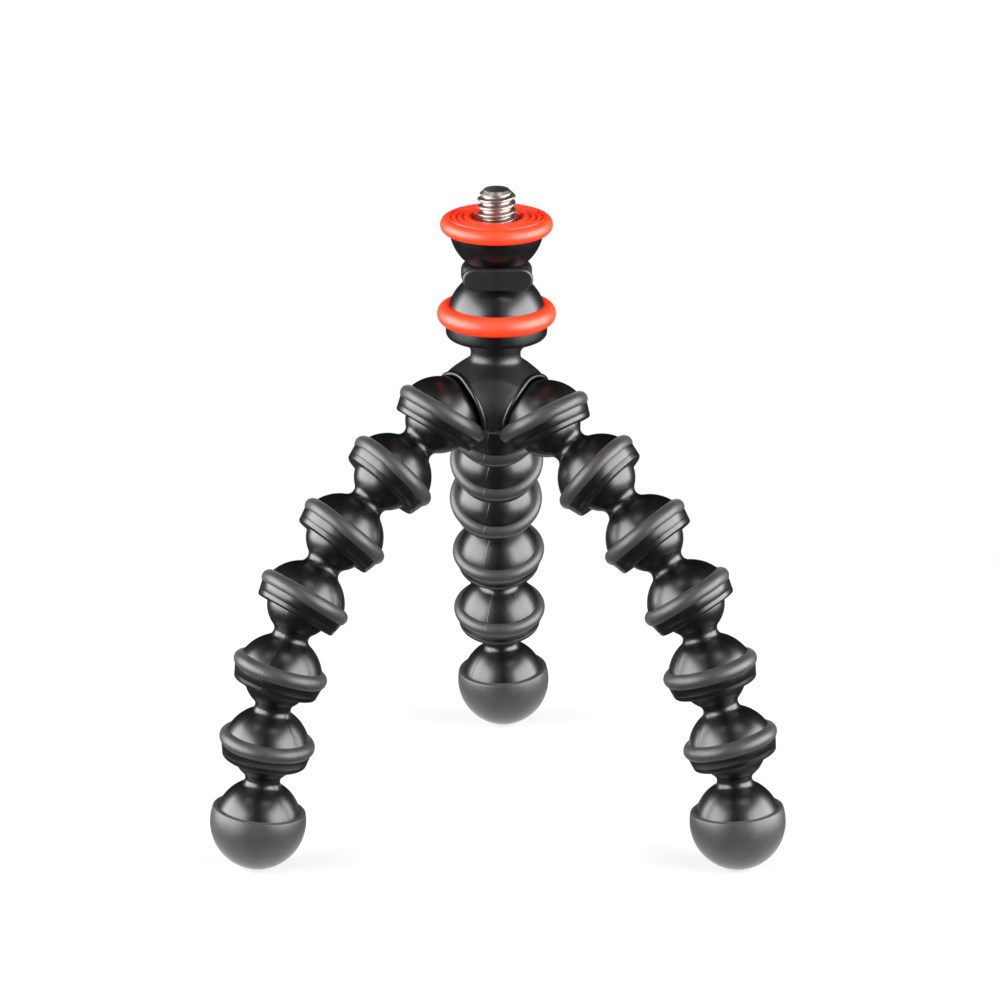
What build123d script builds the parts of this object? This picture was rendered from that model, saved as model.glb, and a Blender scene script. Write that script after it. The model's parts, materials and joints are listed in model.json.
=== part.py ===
from build123d import *
import os
from math import acos, cos, degrees, radians, sin, sqrt

# Flexible leg tripod: three chains of ball-and-socket links under a ball head with a camera screw.
# Millimetres. The origin is the middle of the camera seat, +Z points up along the camera screw,
# the front of the tripod faces -Y and the three legs leave the hub 120 degrees apart.

# Camera screw, 1/4 inch with 20 threads per inch
screw_radius = 3.175
screw_height = 4.65
screw_tip_chamfer = 1.10
thread_pitch = 1.27
thread_depth = 0.69
thread_crest = 0.20
thread_bottom = -0.95
thread_root_share = 1.25
thread_run_out = 0.05
screw_tip_inset = 0.10
hex_flats = 10.0
hex_height = 2.3

# Rubber camera seat on the bowl
pad_overhang = 0.15
pad_rim_tube = 1.33
pad_rim_inset = 0.10
pad_rim_gap = 0.04
pad_hole_gap = 1.08
pad_groove_shares = (0.31, 0.57, 0.82)
pad_groove_width = 0.42
pad_groove_depth = 0.45

# Head: bowl under the seat, neck, and the socket dome that holds the hub's ball
bowl_radius = 7.95
bowl_cut = 1.14
head_neck_radius = 4.25
head_neck_length = 2.28
head_ball_radius = 6.50
head_dome_wall = 1.90
head_joint_offset = 0.25
head_lip_stand_off = 0.12
head_lip_reach = 2.87
head_lip_corner = 1.00
head_ring_rise = 0.98
head_ring_sink = 0.09
head_ring_tube = 1.68
head_ring_wall = 0.75

# Tag band round the head's neck
band_wall = 1.70
band_height = 3.40
band_corner = 1.20
band_offset = 1.37
tag_length = 11.80
tag_height = 3.85
tag_stand_off = 1.15
tag_sink = 0.20
tag_edge = 0.30
tag_rise = 0.50
tag_turn = 4.0

# Leg link: a ball above, a neck, and a socket dome with its grip ring below
ball_radius = 5.65
ball_flat_radius = 1.30
dome_wall = 1.72
neck_sink = 0.09
neck_fillet = 1.30
socket_gap = 0.05
lip_stand_off = 0.25
lip_taper = 0.47
lip_drop = 2.15
lip_chamfer = 0.28
ring_rise = 1.29
ring_sink = 0.61
ring_tube = 1.36
ring_wall = 0.60
ring_gap = 0.03

# Rubber foot on the round core of the last link
core_inset = 0.09
core_flat_depth = 1.68
boot_wall = 0.84
boot_rise = 2.20
boot_point = 0.20
boot_rim_round_share = 0.42
quarter_round_share = 4 / 3 * (sqrt(2) - 1)

# Hub: ball, neck, sloping shoulder and the skirt round the three upper sockets
hub_neck_radius = 4.20
hub_neck_fillet = 1.30
hub_neck_length = 0.35
hub_waist = 2.35
hub_sole = 0.23
shoulder_slope = 38.0
shoulder_inset = 1.10
shoulder_round = 2.40
skirt_taper = 0.65
pocket_gap = 0.80
pocket_skirt_gap = 0.83
peg_radius = 2.00
peg_length = 2.23
peg_slant = 52.7
hub_lean_forward = -1.2
hub_lean_side = 1.5

# Upper sockets of the legs
leg_azimuths = {"a": -150.0, "b": -30.0, "c": 90.0}
socket_reach = 3.09
socket_lean = 33.2

# How each leg stands: the angles by which its links lean outwards and sideways from straight down,
# from the third link on, and sideways for the second. The guide leg's second link leans outwards by
# its own angle and so sets the floor. On the other legs that link takes the lean that reaches it.
guide_leg = "a"
guide_lean_angle = 48.95
first_side_degrees = {"a": 0.5, "b": 5.0, "c": 1.5}
link_lean_degrees = {
    "a": ((44.5, 0.0), (36.5, 3.0), (19.5, -0.5), (9.5, -3.0), (8.0, -1.5)),
    "b": ((43.5, 4.0), (35.5, 5.0), (18.0, 2.0), (17.0, 2.0), (7.0, -0.5)),
    "c": ((41.5, 1.0), (40.0, 2.0), (24.0, -1.5), (17.0, 0.0), (5.0, -3.5)),
}

# Cutting shapes run this far past what they cut
overrun = 1.0


def on_circle(radius, z):
    """The distance from the axis at which a circle round the origin has this height."""
    return sqrt(radius**2 - z**2)


# Seat and head sizes that follow from the ones above
pad_rim_radius = bowl_radius + pad_overhang
pad_rim_drop = pad_rim_tube + pad_rim_inset
pad_thickness = pad_rim_drop + pad_rim_tube + pad_rim_gap
pad_hole_radius = screw_radius + pad_hole_gap
bowl_drop = pad_thickness - bowl_cut
bowl_bottom_drop = bowl_drop + on_circle(bowl_radius, head_neck_radius)
head_dome_radius = head_ball_radius + head_dome_wall
head_dome_drop = bowl_bottom_drop + head_neck_length + on_circle(head_dome_radius, head_neck_radius)
head_joint_drop = head_dome_drop + head_joint_offset
head_lip_radius = head_dome_radius + head_lip_stand_off
head_lip_drop = head_joint_drop + head_lip_reach
head_ring_drop = head_dome_drop - head_ring_rise
head_ring_radius = head_dome_radius - head_ring_sink
head_ring_floor = head_ball_radius + head_ring_wall
band_outer_radius = head_neck_radius + band_wall
band_drop = bowl_bottom_drop + band_offset
tag_thickness = tag_stand_off + tag_sink
tag_front = band_outer_radius + tag_stand_off
tag_drop = band_drop - tag_rise

# Leg and foot sizes that follow
dome_radius = ball_radius + dome_wall
link_pitch = ball_radius + dome_radius - neck_sink
lip_top_radius = dome_radius + lip_stand_off
lip_bottom_radius = lip_top_radius - lip_taper
ring_radius = dome_radius - ring_sink
ring_floor = ball_radius + ring_wall
foot_core_radius = dome_radius - core_inset
boot_radius = foot_core_radius + boot_wall
boot_core_flat = foot_core_radius - core_flat_depth

# Hub sizes that follow
first_socket_radius = dome_radius + socket_reach
first_socket_drop = head_joint_drop + head_ball_radius + hub_waist + dome_radius
hub_bottom_drop = first_socket_drop + hub_sole
shoulder_radius = first_socket_radius - shoulder_inset
skirt_bottom_radius = shoulder_radius - skirt_taper
pocket_radius = dome_radius + pocket_gap
pocket_skirt_radius = ring_radius + ring_tube + pocket_gap
pocket_skirt_rise = ring_rise + ring_tube + pocket_skirt_gap
peg_reach = dome_radius + peg_length


def turned(section):
    """The solid that a section in the plane of radius and height sweeps about the Z axis."""
    return revolve(Plane.XZ * section, Axis.Z)


def between(start, end, centre, radius):
    """An arc about a centre from start to end, through the point that faces their middle."""
    middle = Vector((start[0] + end[0]) / 2 - centre[0], (start[1] + end[1]) / 2 - centre[1])
    through = middle.normalized() * radius
    return ThreePointArc(start, (centre[0] + through.X, centre[1] + through.Y), end)


def neck_circle(upper, lower, pitch, fillet):
    """Centre of the neck's fillet circle between a ball at the origin and a dome a pitch below it."""
    z = -((upper + fillet) ** 2 - (lower + fillet) ** 2 + pitch**2) / (2 * pitch)
    return sqrt((upper + fillet) ** 2 - z**2), z


def touch(centre, fillet, ball_z, radius):
    """The point where a fillet circle touches a circle on the axis."""
    share = radius / (radius + fillet)
    return centre[0] * share, ball_z + (centre[1] - ball_z) * share


def ball_and_neck(lower_radius):
    """Contour from the ball's flat top down to the start of the dome below it."""
    top = sqrt(ball_radius**2 - ball_flat_radius**2)
    fillet = neck_circle(ball_radius, lower_radius, link_pitch, neck_fillet)
    upper = touch(fillet, neck_fillet, 0, ball_radius)
    lower = touch(fillet, neck_fillet, -link_pitch, lower_radius)
    waist = (fillet[0] - neck_fillet, fillet[1])
    edges = [
        Line((0, top), (ball_flat_radius, top)),
        ThreePointArc((ball_flat_radius, top), (ball_radius, 0), upper),
        ThreePointArc(upper, waist, lower),
    ]
    return edges, (0, top), lower


def socket_section(edges, top, start, centre_z):
    """Closes a contour with the dome, the lip and the hollow of a socket, and cuts its ring groove."""
    ring_z = centre_z + ring_rise
    lip_z = centre_z - lip_drop
    hollow = ball_radius + socket_gap
    dome_end = (on_circle(dome_radius, ring_rise), ring_z)
    mouth = (on_circle(hollow, lip_drop), lip_z)
    crown = (0, centre_z + hollow)
    edges = edges + [
        between(start, dome_end, (0, centre_z), dome_radius),
        Line(dome_end, (lip_top_radius, ring_z)),
        Line((lip_top_radius, ring_z), (lip_bottom_radius, lip_z + lip_chamfer)),
        Line((lip_bottom_radius, lip_z + lip_chamfer), (lip_bottom_radius - lip_chamfer, lip_z)),
        Line((lip_bottom_radius - lip_chamfer, lip_z), mouth),
        ThreePointArc(mouth, (hollow, centre_z), crown),
        Line(crown, top),
    ]
    return make_face(edges) - ring_section(centre_z, ring_gap)


def ring_section(centre_z, gap):
    """Section of a leg's grip ring: round outside, flat against the floor of its groove."""
    tube = Pos(ring_radius, centre_z + ring_rise) * Circle(ring_tube + gap)
    inner = ring_floor - gap
    keep = Pos(inner + ring_radius / 2, centre_z + ring_rise) * Rectangle(ring_radius, ring_radius)
    return tube & keep


def leg_link():
    """A leg link, its ball at the origin and its socket a pitch below."""
    edges, top, start = ball_and_neck(dome_radius)
    return turned(socket_section(edges, top, start, -link_pitch))


def grip_ring():
    """A leg's grip ring, with the centre of its socket at the origin."""
    return turned(ring_section(0, 0))


def upper_socket():
    """The hub's socket for a leg, centred on the origin, with the peg that holds it in the hub."""
    top = (0, dome_radius)
    dome = turned(socket_section([], top, top, 0))
    peg = Pos(0, 0, (dome_radius + ball_radius) / 2) * Cylinder(
        peg_radius, peg_reach - (dome_radius + ball_radius) / 2, align=(Align.CENTER, Align.CENTER, Align.MIN)
    )
    return dome + Rot(0, socket_lean - peg_slant, 0) * peg


def foot_core():
    """The last ball with the round core that the boot is moulded on."""
    edges, top, start = ball_and_neck(foot_core_radius)
    bottom = (0, -link_pitch - boot_core_flat)
    flat = (on_circle(foot_core_radius, boot_core_flat), bottom[1])
    edges += [
        ThreePointArc(start, (foot_core_radius, -link_pitch), flat),
        Line(flat, bottom),
        Line(bottom, top),
    ]
    return turned(make_face(edges))


def foot_boot():
    """The rubber boot round a foot's core, centred on the core."""
    rim_inner = (on_circle(foot_core_radius, boot_rise), boot_rise)
    rim_outer = (on_circle(boot_radius, boot_rise), boot_rise)
    flat = (on_circle(foot_core_radius, boot_core_flat), -boot_core_flat)
    length = boot_radius + boot_point
    section = make_face(
        [
            Line(rim_inner, rim_outer),
            between(rim_outer, (boot_radius, 0), (0, 0), boot_radius),
            Bezier(
                (boot_radius, 0),
                (boot_radius, -length * quarter_round_share),
                (boot_radius * quarter_round_share, -length),
                (0, -length),
            ),
            Line((0, -length), (0, -boot_core_flat)),
            Line((0, -boot_core_flat), flat),
            ThreePointArc(flat, (foot_core_radius, 0), rim_inner),
        ]
    )
    rim = section.vertices().sort_by(Axis.Y)[-2:]
    return turned(fillet(rim, boot_wall * boot_rim_round_share))


def thread_ridge(start_z, height):
    """The screw's thread: a trapezium swept along a helix, its root sunk in the core."""
    half = (thread_pitch - thread_crest) / 2
    root = screw_radius - thread_depth * thread_root_share
    profile = make_face(
        [
            Line((root, -half), (screw_radius, -thread_crest / 2)),
            Line((screw_radius, -thread_crest / 2), (screw_radius, thread_crest / 2)),
            Line((screw_radius, thread_crest / 2), (root, half)),
            Line((root, half), (root, -half)),
        ]
    )
    start = Pos(0, 0, start_z)
    helix = start * Helix(thread_pitch, height, root)
    return sweep(start * (Plane.XZ * profile), path=helix, is_frenet=True)


def camera_screw():
    """Hex-headed screw: plain shank, then a threaded core under a coned tip."""
    seat = -pad_thickness
    core = screw_radius - thread_depth
    tip_start = screw_height - screw_tip_chamfer
    outline = Polyline(
        (0, seat),
        (screw_radius, seat),
        (screw_radius, thread_bottom),
        (core, thread_bottom),
        (core, tip_start),
        (screw_radius - screw_tip_inset, tip_start),
        (screw_radius - screw_tip_chamfer, screw_height),
        (0, screw_height),
        (0, seat),
    )
    run_in = thread_pitch / 2 - thread_run_out
    ridge = thread_ridge(thread_bottom + run_in, tip_start - thread_bottom - 2 * run_in)
    head = extrude(
        Pos(0, 0, seat) * RegularPolygon(hex_flats / 2, 6, major_radius=False), -hex_height
    )
    return turned(make_face(outline)) + ridge + head


def seat_pad():
    """Rubber camera seat: a disc with a bulging rim, grooved on top."""
    section = Pos((pad_hole_radius + pad_rim_radius) / 2, -pad_thickness / 2) * Rectangle(
        pad_rim_radius - pad_hole_radius, pad_thickness
    )
    section += Pos(pad_rim_radius, -pad_rim_drop) * Circle(pad_rim_tube)
    for share in pad_groove_shares:
        radius = pad_hole_radius + (pad_rim_radius - pad_hole_radius) * share
        section -= Pos(radius, 0) * Rectangle(pad_groove_width, 2 * pad_groove_depth)
    return turned(section)


def head_body():
    """Bowl, neck and socket dome in one piece, with the pocket for the screw's head."""
    seat = -pad_thickness
    bowl_top = (on_circle(bowl_radius, seat + bowl_drop), seat)
    bowl_end = (head_neck_radius, -bowl_bottom_drop)
    dome_start = (head_neck_radius, -head_dome_drop + on_circle(head_dome_radius, head_neck_radius))
    ring_z = -head_ring_drop
    dome_end = (on_circle(head_dome_radius, ring_z + head_dome_drop), ring_z)
    lip_z = -head_lip_drop
    hollow = head_ball_radius + socket_gap
    mouth = (on_circle(hollow, head_lip_drop - head_joint_drop), lip_z)
    crown = (0, -head_joint_drop + hollow)
    corner = (head_lip_radius - head_lip_corner, lip_z + head_lip_corner)
    section = make_face(
        [
            Line((0, seat), bowl_top),
            between(bowl_top, bowl_end, (0, -bowl_drop), bowl_radius),
            Line(bowl_end, dome_start),
            between(dome_start, dome_end, (0, -head_dome_drop), head_dome_radius),
            Line(dome_end, (head_lip_radius, ring_z)),
            Line((head_lip_radius, ring_z), (head_lip_radius, corner[1])),
            between((head_lip_radius, corner[1]), (corner[0], lip_z), corner, head_lip_corner),
            Line((corner[0], lip_z), mouth),
            ThreePointArc(mouth, (hollow, -head_joint_drop), crown),
            Line(crown, (0, seat)),
        ]
    )
    body = turned(section - head_ring_section(ring_gap))
    hex_pocket = extrude(
        Pos(0, 0, seat + overrun) * RegularPolygon(hex_flats / 2, 6, major_radius=False),
        -hex_height - overrun,
    )
    return body - hex_pocket


def head_ring_section(gap):
    """Section of the head's grip ring."""
    tube = Pos(head_ring_radius, -head_ring_drop) * Circle(head_ring_tube + gap)
    inner = head_ring_floor - gap
    keep = Pos(inner + head_ring_radius / 2, -head_ring_drop) * Rectangle(
        head_ring_radius, head_ring_radius
    )
    return tube & keep


def tag_band(head):
    """The band round the head's neck with its blank tag at the front."""
    centre = (band_outer_radius + head_neck_radius - overrun) / 2
    section = Pos(centre, -band_drop) * Rectangle(
        band_outer_radius - head_neck_radius + overrun, band_height
    )
    outer = section.vertices().sort_by(Axis.X)[-2:]
    band = turned(fillet(outer, band_corner))
    plate = extrude(SlotOverall(tag_length, tag_height), tag_thickness)
    rim = plate.edges().group_by(Axis.Z)[-1]
    plate = Plane((0, -tag_front + tag_thickness, -tag_drop), (1, 0, 0), (0, -1, 0)).location * fillet(
        rim, tag_edge
    )
    return Rot(0, 0, tag_turn) * (band + plate) - head


def hub():
    """Ball, neck and skirted shoulder, hollowed for the three upper sockets."""
    joint_z = -head_joint_drop
    fillet_r = hub_neck_radius + hub_neck_fillet
    fillet_z = joint_z - sqrt((head_ball_radius + hub_neck_fillet) ** 2 - fillet_r**2)
    upper = touch((fillet_r, fillet_z), hub_neck_fillet, joint_z, head_ball_radius)
    slope = radians(shoulder_slope)
    turn_z = fillet_z - hub_neck_length
    lower = (fillet_r - hub_neck_fillet * sin(slope), turn_z - hub_neck_fillet * cos(slope))
    bend = between((hub_neck_radius, turn_z), lower, (fillet_r, turn_z), hub_neck_fillet)
    top = joint_z + head_ball_radius
    shoulder_z = lower[1] - (shoulder_radius - lower[0]) * sin(slope) / cos(slope)
    outline = make_face(
        [
            ThreePointArc((0, top), (head_ball_radius, joint_z), upper),
            between(upper, (hub_neck_radius, fillet_z), (fillet_r, fillet_z), hub_neck_fillet),
            Line((hub_neck_radius, fillet_z), (hub_neck_radius, turn_z)),
            bend,
            Line(lower, (shoulder_radius, shoulder_z)),
            Line((shoulder_radius, shoulder_z), (skirt_bottom_radius, -hub_bottom_drop)),
            Line((skirt_bottom_radius, -hub_bottom_drop), (0, -hub_bottom_drop)),
            Line((0, -hub_bottom_drop), (0, top)),
        ]
    )
    outline = fillet(outline.vertices().sort_by(Axis.X)[-1], shoulder_round)
    return turned(outline)


def hub_pocket():
    """What one upper socket takes out of the hub, centred on that socket, its peg hole included."""
    depth = first_socket_radius
    skirt = Pos(0, 0, pocket_skirt_rise) * Cylinder(
        pocket_skirt_radius, depth, align=(Align.CENTER, Align.CENTER, Align.MAX)
    )
    peg = Rot(0, socket_lean - peg_slant, 0) * Cylinder(
        peg_radius, peg_reach, align=(Align.CENTER, Align.CENTER, Align.MIN)
    )
    return Sphere(pocket_radius) + skirt + peg


def lean_direction(azimuth, out, side):
    """Unit vector of a link that leans outwards and sideways from straight down, by leg azimuth."""
    out, side, turn = radians(out), radians(side), radians(azimuth)
    radial = sin(out) * cos(side)
    across = sin(side)
    return Vector(
        radial * cos(turn) - across * sin(turn),
        radial * sin(turn) + across * cos(turn),
        -cos(out) * cos(side),
    )


def leg_frame(azimuth, origin, direction):
    """Placing of a part made pointing down, its X side kept in the leg's own upright plane."""
    outwards = Vector(cos(radians(azimuth)), sin(radians(azimuth)), 0)
    up = -direction
    return Plane(origin, outwards - up * outwards.dot(up), up).location


def hub_pose():
    """The small lean with which the hub hangs in the head's ball joint."""
    return (
        Pos(0, 0, -head_joint_drop)
        * Rot(hub_lean_forward, hub_lean_side, 0)
        * Pos(0, 0, head_joint_drop)
    )


def socket_frame(azimuth):
    """Placing of a leg's upper socket in the hub, before the hub leans."""
    turn = radians(azimuth)
    centre = Vector(cos(turn), sin(turn), 0) * first_socket_radius + Vector(0, 0, -first_socket_drop)
    return leg_frame(azimuth, centre, lean_direction(azimuth, socket_lean, 0))


def leg_socket(name):
    """Plane of a leg's upper socket on the leaning hub."""
    return Plane(hub_pose() * socket_frame(leg_azimuths[name]))


def link_drops(angles):
    """How far links come down in all, as a share of the pitch."""
    return sum(cos(radians(out)) * cos(radians(side)) for out, side in angles)


def foot_height():
    """Height of the middle of the feet, where the guide leg puts its own."""
    second = (guide_lean_angle, first_side_degrees[guide_leg])
    drops = link_drops((second,) + link_lean_degrees[guide_leg])
    return leg_socket(guide_leg).origin.Z - link_pitch * drops


def leg_chain(name):
    """Joint centres of a leg from its hub socket to its foot, and the direction of each link."""
    azimuth, side, leans = leg_azimuths[name], first_side_degrees[name], link_lean_degrees[name]
    socket = leg_socket(name)
    drop = (socket.origin.Z - foot_height()) / link_pitch - link_drops(leans)
    second = (degrees(acos(drop / cos(radians(side)))), side)
    directions = [-socket.z_dir]
    directions += [lean_direction(azimuth, out, across) for out, across in (second,) + leans]
    centres = [socket.origin]
    for direction in directions[1:]:
        centres.append(centres[-1] + direction * link_pitch)
    return azimuth, centres, directions


def save(solid, name):
    """Writes one piece as its own STEP file."""
    solid.label = name
    export_step(solid, f"parts/{name}.step")


def save_leg(name, link, ring, core, boot):
    """Places and writes a leg's links, grip rings and foot."""
    azimuth, centres, directions = leg_chain(name)
    frames = [leg_frame(azimuth, c, d) for c, d in zip(centres, directions)]
    for number, frame in enumerate(frames[:-1], start=1):
        save(frame * ring, f"ring_{number}_{name}")
    for number, (ball, direction) in enumerate(zip(centres, directions[1:-1]), start=2):
        save(leg_frame(azimuth, ball, direction) * link, f"link_{number}_{name}")
    save(leg_frame(azimuth, centres[-2], directions[-1]) * core, f"foot_core_{name}")
    save(frames[-1] * boot, f"foot_boot_{name}")


def main():
    os.makedirs("parts", exist_ok=True)
    head = head_body()
    save(camera_screw(), "camera_screw")
    save(seat_pad(), "seat_pad")
    save(head, "head_body")
    save(tag_band(head), "tag_band")
    save(turned(head_ring_section(0)), "head_ring")
    shell = hub()
    link, ring, core, boot = leg_link(), grip_ring(), foot_core(), foot_boot()
    socket, pocket = upper_socket(), hub_pocket()
    for name, azimuth in leg_azimuths.items():
        frame = socket_frame(azimuth)
        shell -= frame * pocket
        save(hub_pose() * frame * socket, f"socket_{name}")
        save_leg(name, link, ring, core, boot)
    save(hub_pose() * shell, "hub")


main()
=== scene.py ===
import json
import math

import bpy
from mathutils import Matrix, Vector


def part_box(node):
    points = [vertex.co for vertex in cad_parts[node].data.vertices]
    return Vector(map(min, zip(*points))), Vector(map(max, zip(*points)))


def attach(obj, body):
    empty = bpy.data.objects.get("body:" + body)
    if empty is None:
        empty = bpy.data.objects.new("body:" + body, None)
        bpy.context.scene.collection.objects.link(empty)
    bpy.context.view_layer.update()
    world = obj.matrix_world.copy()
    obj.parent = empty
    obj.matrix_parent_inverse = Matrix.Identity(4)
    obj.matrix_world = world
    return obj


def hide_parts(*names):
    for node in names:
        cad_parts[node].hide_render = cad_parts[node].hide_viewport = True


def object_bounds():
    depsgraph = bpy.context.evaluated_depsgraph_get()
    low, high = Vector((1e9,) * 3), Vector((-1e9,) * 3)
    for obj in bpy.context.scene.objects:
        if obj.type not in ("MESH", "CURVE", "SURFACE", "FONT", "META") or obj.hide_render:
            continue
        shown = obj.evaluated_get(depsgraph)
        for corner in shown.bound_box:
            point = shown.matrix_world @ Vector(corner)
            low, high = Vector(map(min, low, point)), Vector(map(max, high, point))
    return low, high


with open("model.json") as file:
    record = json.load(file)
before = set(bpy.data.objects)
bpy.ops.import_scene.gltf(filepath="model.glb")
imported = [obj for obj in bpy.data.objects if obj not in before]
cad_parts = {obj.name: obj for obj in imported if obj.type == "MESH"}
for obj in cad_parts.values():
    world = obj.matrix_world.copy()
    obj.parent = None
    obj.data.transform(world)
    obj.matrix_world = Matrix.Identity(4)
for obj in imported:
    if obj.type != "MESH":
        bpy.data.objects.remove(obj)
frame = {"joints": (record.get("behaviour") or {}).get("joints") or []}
cad_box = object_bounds()

# Flexible leg tripod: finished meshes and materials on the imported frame.
# Lengths are metres, +Z is up and the front faces -Y.

MM = 0.001

LEGS = ("a", "b", "c")
SOCKETS = 6

# Leg links, with the fine step and seam of their lips
LINK_PITCH = 12.93 * MM
BALL_RADIUS = 5.65 * MM
BALL_FLAT_RADIUS = 1.30 * MM
DOME_RADIUS = 7.37 * MM
NECK_FILLET = 1.30 * MM
SOCKET_GAP = 0.05 * MM
LIP_TOP_RADIUS = 7.62 * MM
LIP_BOTTOM_RADIUS = 7.15 * MM
LIP_DROP = 2.15 * MM
LIP_CHAMFER = 0.28 * MM
LIP_STEP_SHARE = 0.62
LIP_STEP = 0.09 * MM
LIP_SEAM = 0.06 * MM
EDGE_ROUND = 0.07 * MM
RING_RISE = 1.29 * MM
RING_RADIUS = 6.76 * MM
RING_TUBE = 1.36 * MM
RING_FLOOR = 6.25 * MM
RING_GAP = 0.03 * MM

# Degrees that a leg's pieces turn about their own axes, which sets where their parting lines show,
# and the pieces that turn otherwise, by their place down the leg
LEG_TURNS = {"a": 25.0, "b": -25.0, "c": -106.0}
LINE_TURNS = {"5_a": -47.0, "6_a": 32.0, "7_a": 22.0}

# Feet
FOOT_CORE_RADIUS = 7.28 * MM
BOOT_CORE_FLAT = 5.6 * MM
BOOT_RADIUS = 8.12 * MM
BOOT_RISE = 2.20 * MM
BOOT_RIM_ROUND = 0.35 * MM
BOOT_POINT = 0.20 * MM

# Head; the tuck is the angle in radians, from straight down, where the rim leaves the pad's underside
PAD_RIM_RADIUS = 8.10 * MM
PAD_RIM_TUBE = 1.33 * MM
PAD_RIM_DROP = 1.43 * MM
PAD_RIM_TUCK = 0.2
PAD_THICKNESS = 2.80 * MM
PAD_HOLE_RADIUS = 4.255 * MM
PAD_GROOVE_RADII = (5.55 * MM, 6.58 * MM, 7.60 * MM)
PAD_GROOVE_WIDTH = 0.42 * MM
PAD_GROOVE_DEPTH = 0.30 * MM
PAD_GROOVE_SPREAD_SHARE = 1.1
BOWL_RADIUS = 7.95 * MM
BOWL_DROP = 1.66 * MM
HEAD_NECK_RADIUS = 4.25 * MM
HEAD_DOME_RADIUS = 8.40 * MM
HEAD_DOME_DROP = 17.904 * MM
HEAD_JOINT_DROP = 18.154 * MM
HEAD_BALL_RADIUS = 6.50 * MM
HEAD_LIP_RADIUS = 8.52 * MM
HEAD_LIP_DROP = 21.024 * MM
HEAD_LIP_CORNER = 1.00 * MM
HEAD_RING_DROP = 16.924 * MM
HEAD_RING_RADIUS = 8.31 * MM
HEAD_RING_TUBE = 1.68 * MM
HEAD_RING_FLOOR = 7.25 * MM

# Tag band
BAND_RADIUS = 5.95 * MM
BAND_HEIGHT = 3.40 * MM
BAND_CORNER = 1.20 * MM
BAND_DROP = 9.75 * MM
TAG_LENGTH = 11.80 * MM
TAG_HEIGHT = 3.85 * MM
TAG_THICKNESS = 1.10 * MM
TAG_FRONT = 7.10 * MM
TAG_DROP = 9.25 * MM
TAG_EDGE = 0.35 * MM
TAG_BEND_RADIUS = 26.55 * MM
TAG_TURN = math.radians(4.0)

# Camera screw
SCREW_RADIUS = 3.175 * MM
SCREW_HEIGHT = 4.65 * MM
SCREW_TIP_CHAMFER = 1.10 * MM
SCREW_PITCH = 1.27 * MM
SCREW_DEPTH = 0.69 * MM
SCREW_CREST_SHARE = 0.16
SCREW_STRAIGHT_SHARE = 0.35
SCREW_BOTTOM = -0.95 * MM
SCREW_THREAD_DROP = 0.56 * MM

# Hub
HUB_NECK_RADIUS = 4.20 * MM
HUB_NECK_FILLET = 1.30 * MM
HUB_NECK_LENGTH = 0.35 * MM
HUB_SLOPE = math.radians(36.2)
HUB_SHOULDER_RADIUS = 9.52 * MM
HUB_SIDE_ROUND = 2.40 * MM
HUB_FRONT_ROUND = 7.00 * MM
HUB_SKIRT_RADIUS = 8.70 * MM
HUB_BOTTOM_DROP = 34.60 * MM
HUB_PINCH = 9.0 * MM
HUB_POINT = 0.50 * MM
HUB_LEAN = (math.radians(-1.2), math.radians(1.5))
SOCKET_RADIUS = 10.46 * MM
SOCKET_DROP = 34.374 * MM
SOCKET_LEAN = math.radians(33.2)
POCKET_RADIUS = 8.15 * MM
POCKET_DEPTH = 8.00 * MM
BEAD_RADIUS = 0.46 * MM

# Degrees round the hub: its three lobes, half the turn between two of them, how far the tight rounding
# and the pointed middle reach, and how far the pockets are turned on from the lobes
HUB_LOBES = (-150.0, -30.0, 90.0)
LOBE_HALF = 60.0
LOBE_REACH = 20.0
KEEL_REACH = 20.0
POCKET_TURN = 2.2

# Fineness of the meshes
TURNS = 120
ARC_STEP = 0.30 * MM
ARC_MIN_STEPS = 3
AXIS_REACH = ARC_STEP / 100
CORNER_STEPS = 4
CORNER_REACH_SHARE = 0.45
RIM_STEPS = 6
GROOVE_STEPS = 10
SCREW_ROWS = 260
TAG_END_STEPS = 24
TAG_EDGE_STEPS = 6
HUB_TURNS = 2 * TURNS
HUB_RUN_STEPS = 10
HUB_ROUND_STEPS = 24
POCKET_MIN_POINTS = 20
BEAD_STEP = 0.35 * MM
BEAD_MIN_STEPS = 8
BEAD_PASSES = 6
BEAD_RESOLUTION = 4

# Limits: the shortest length to divide by, the Z of a direction that counts as upright or as facing
# down, and the angles between two faces beyond which their edge is sharp
SMALLEST_SPAN = 1e-9
UPRIGHT_LIMIT = 0.999999
FACING_DOWN = -0.99
SMOOTH_LIMIT = math.radians(50)
HUB_SMOOTH_LIMIT = math.radians(35)
BEAD_SMOOTH_LIMIT = math.radians(60)

# Darker and lighter tone of each material, in linear colour
BLACK_TONES = ((0.0010, 0.0010, 0.0011), (0.0018, 0.0018, 0.0019))
LINK_TONES = ((0.0010, 0.0010, 0.0011), (0.0020, 0.0020, 0.0021))
TAG_TONES = ((0.003, 0.003, 0.0032), (0.006, 0.006, 0.0062))
RED_TONES = ((0.84, 0.028, 0.005), (0.92, 0.042, 0.010))
GREY_TONES = ((0.017, 0.017, 0.0175), (0.024, 0.024, 0.0245))
BOOT_TONES = ((0.020, 0.020, 0.0205), (0.030, 0.030, 0.0305))
STEEL_TONES = ((0.29, 0.256, 0.232), (0.42, 0.375, 0.343))

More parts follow.
